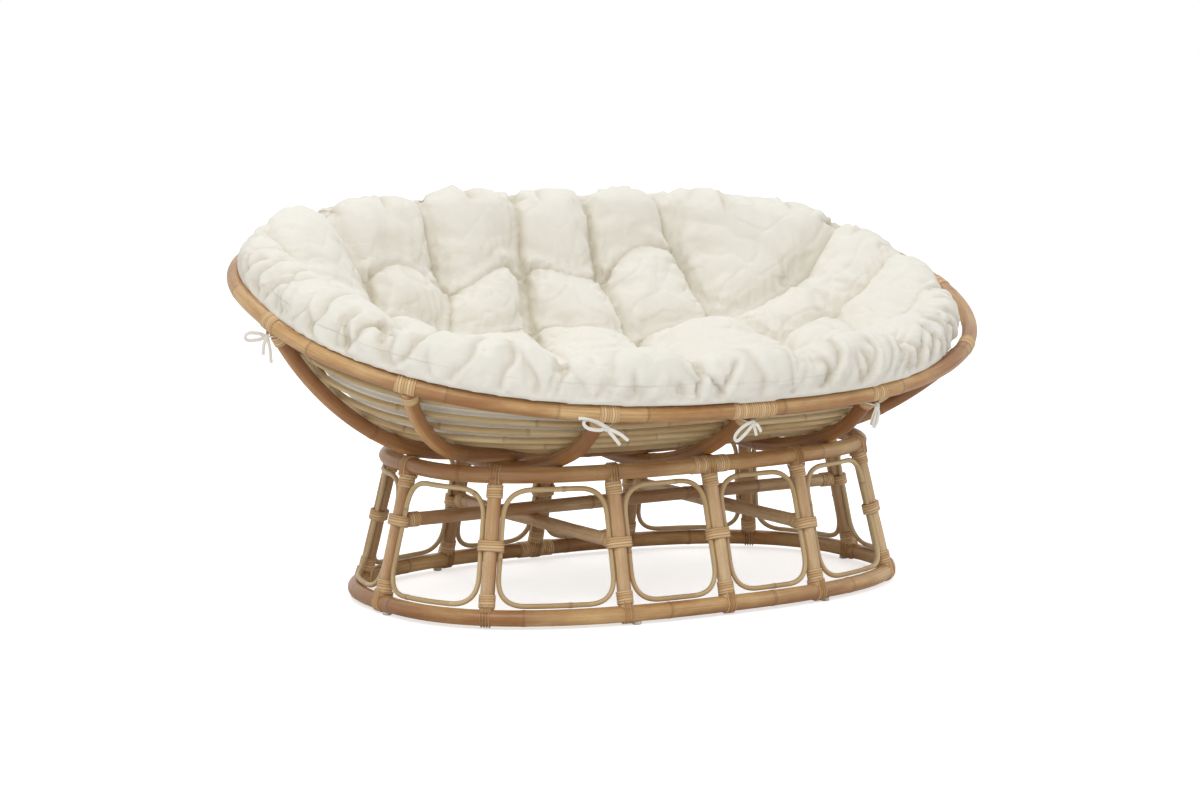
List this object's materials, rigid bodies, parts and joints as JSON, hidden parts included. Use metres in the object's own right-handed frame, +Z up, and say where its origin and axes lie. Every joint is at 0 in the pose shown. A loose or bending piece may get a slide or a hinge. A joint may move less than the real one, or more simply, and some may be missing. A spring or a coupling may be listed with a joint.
{
  "type": "lounge armchair",
  "caption": "Two-seat bowl lounge chair: an oval bowl of bent rattan poles with a tufted cushion, tilted back on an oval stand of splayed posts.",
  "frame": {"origin": "centre of the stand's footprint on the floor", "axes": "+Z up, the sitters face -Y, +X to the right as seen from the front"},
  "size_m": [1.6818, 1.0076, 0.7995],
  "materials": {
    "rattan_thick_pole": "clear lacquered natural rattan pole",
    "rattan_post": "clear lacquered natural rattan pole, bound with pale peel",
    "rattan_bent_pole": "clear lacquered natural rattan pole, slightly darker",
    "rattan_thin_pole": "thin peeled rattan, satin",
    "cushion_cotton": "off-white woven cotton, matte",
    "tie_cotton": "off-white cotton tape, matte",
    "glide_plastic": "pale plastic"
  },
  "bodies": {
    "stand": {"bottom_ring": "rattan_thick_pole", "top_ring": "rattan_thick_pole", "loop_01": "rattan_thin_pole", "loop_02": "rattan_thin_pole", "loop_03": "rattan_thin_pole", "loop_04": "rattan_thin_pole", "loop_05": "rattan_thin_pole", "loop_06": "rattan_thin_pole", "loop_07": "rattan_thin_pole", "loop_08": "rattan_thin_pole", "loop_09": "rattan_thin_pole", "loop_10": "rattan_thin_pole", "loop_11": "rattan_thin_pole", "loop_12": "rattan_thin_pole", "post_right": "rattan_post", "post_back_right_corner": "rattan_post", "post_back_right": "rattan_post", "post_back_centre": "rattan_post", "post_back_left": "rattan_post", "post_back_left_corner": "rattan_post", "post_left": "rattan_post", "post_front_left_corner": "rattan_post", "post_front_left": "rattan_post", "post_front_centre": "rattan_post", "post_front_right": "rattan_post", "post_front_right_corner": "rattan_post", "long_stretcher": "rattan_post", "cross_stretcher_left": "rattan_post", "cross_stretcher_right": "rattan_post", "glide_right": "glide_plastic", "glide_back_right": "glide_plastic", "glide_back_left": "glide_plastic", "glide_left": "glide_plastic", "glide_front_left": "glide_plastic", "glide_front_right": "glide_plastic"},
    "bowl": {"rim": "rattan_thick_pole", "short_arc_left": "rattan_bent_pole", "short_arc_centre": "rattan_bent_pole", "short_arc_right": "rattan_bent_pole", "long_arc_middle": "rattan_bent_pole", "long_arc_front": "rattan_bent_pole", "long_arc_back": "rattan_bent_pole", "slat_1": "rattan_thin_pole", "slat_2": "rattan_thin_pole", "slat_3": "rattan_thin_pole", "slat_4": "rattan_thin_pole", "slat_5": "rattan_thin_pole", "slat_6": "rattan_thin_pole", "tie_left": "tie_cotton", "tie_front_left": "tie_cotton", "tie_front_centre": "tie_cotton", "tie_front_right": "tie_cotton"},
    "cushion_pad": {"cushion": "cushion_cotton"}
  },
  "joints": [
    {"name": "bowl_recline", "type": "hinge", "parent": "stand", "child": "bowl", "pos_m": [0.00385, -0.01626, 1.03708], "axis": [1, 0, 0], "range_deg": [-6, 0]},
    {"name": "cushion_lift", "type": "slide", "parent": "bowl", "child": "cushion_pad", "axis": [0, 0, 1], "range_m": [0, 0.3]}
  ]
}
